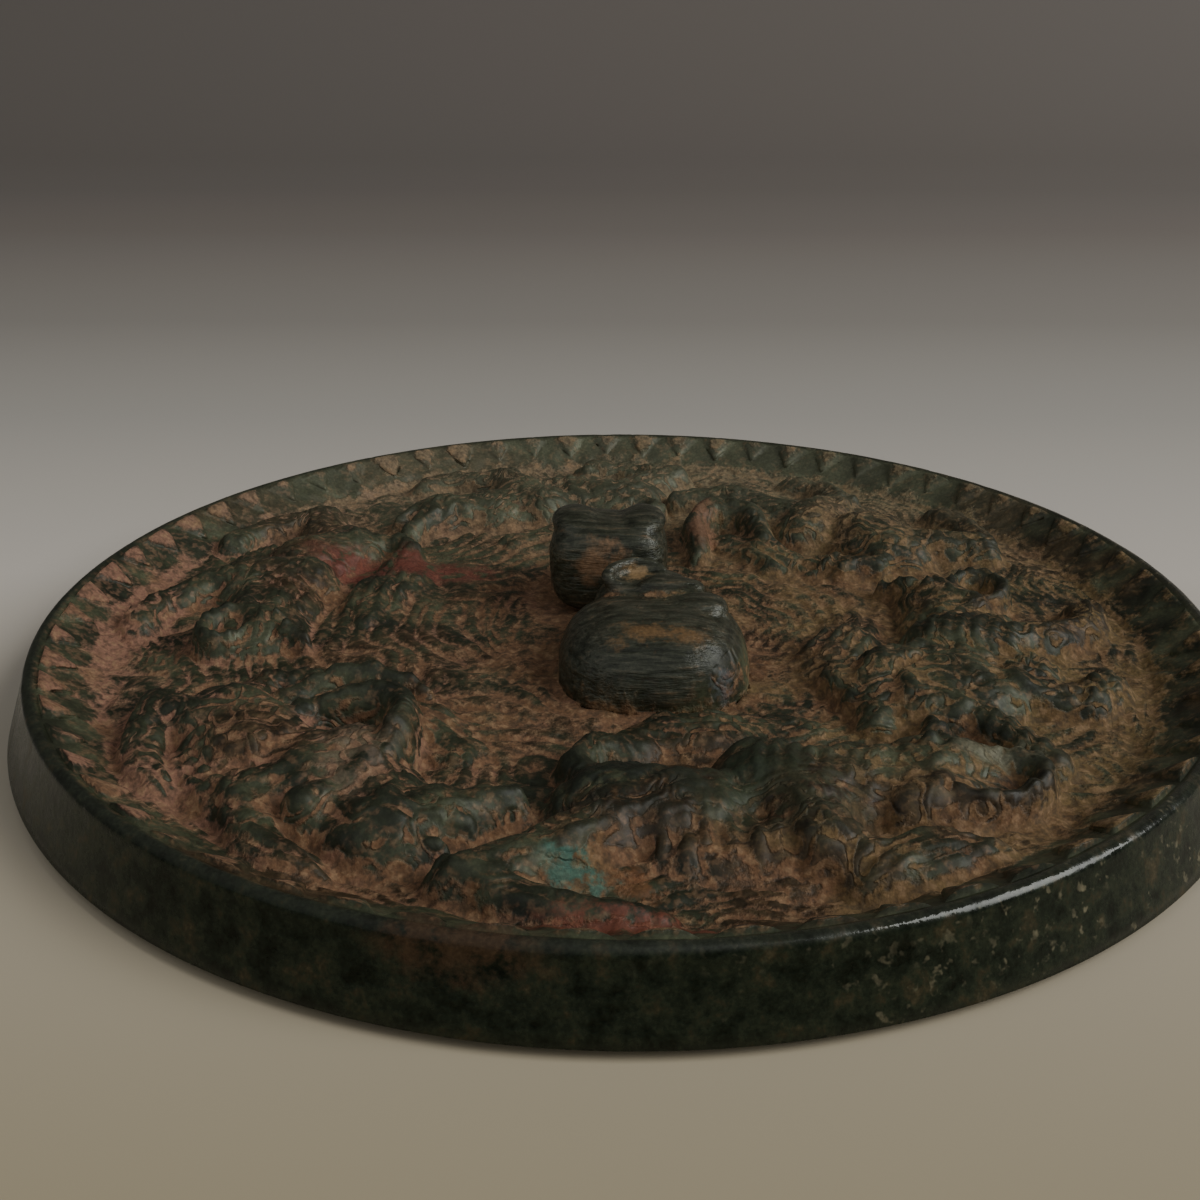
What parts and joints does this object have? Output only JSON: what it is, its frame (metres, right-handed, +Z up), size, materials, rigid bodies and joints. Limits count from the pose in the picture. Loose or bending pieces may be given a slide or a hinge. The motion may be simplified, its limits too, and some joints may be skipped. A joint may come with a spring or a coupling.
{
  "type": "bronze mirror",
  "caption": "Cast bronze hand mirror, back up: raised rim with saw teeth, running beasts in high relief, crouching beast knob pierced for a cord",
  "frame": {"origin": "Middle of the reflecting face, on the surface the mirror lies on, at the base of the bounding box", "axes": "+Z is up through the knob, out of the mirror's back. +Y runs along the knob beast from rump to head, and X along the cord hole"},
  "size_m": [0.1104, 0.1104, 0.013],
  "materials": {
    "bronze": "cast bronze with a dark olive patina, brown and ochre earth in its hollows"
  },
  "bodies": {
    "root": {"mirror": "bronze"}
  },
  "joints": []
}
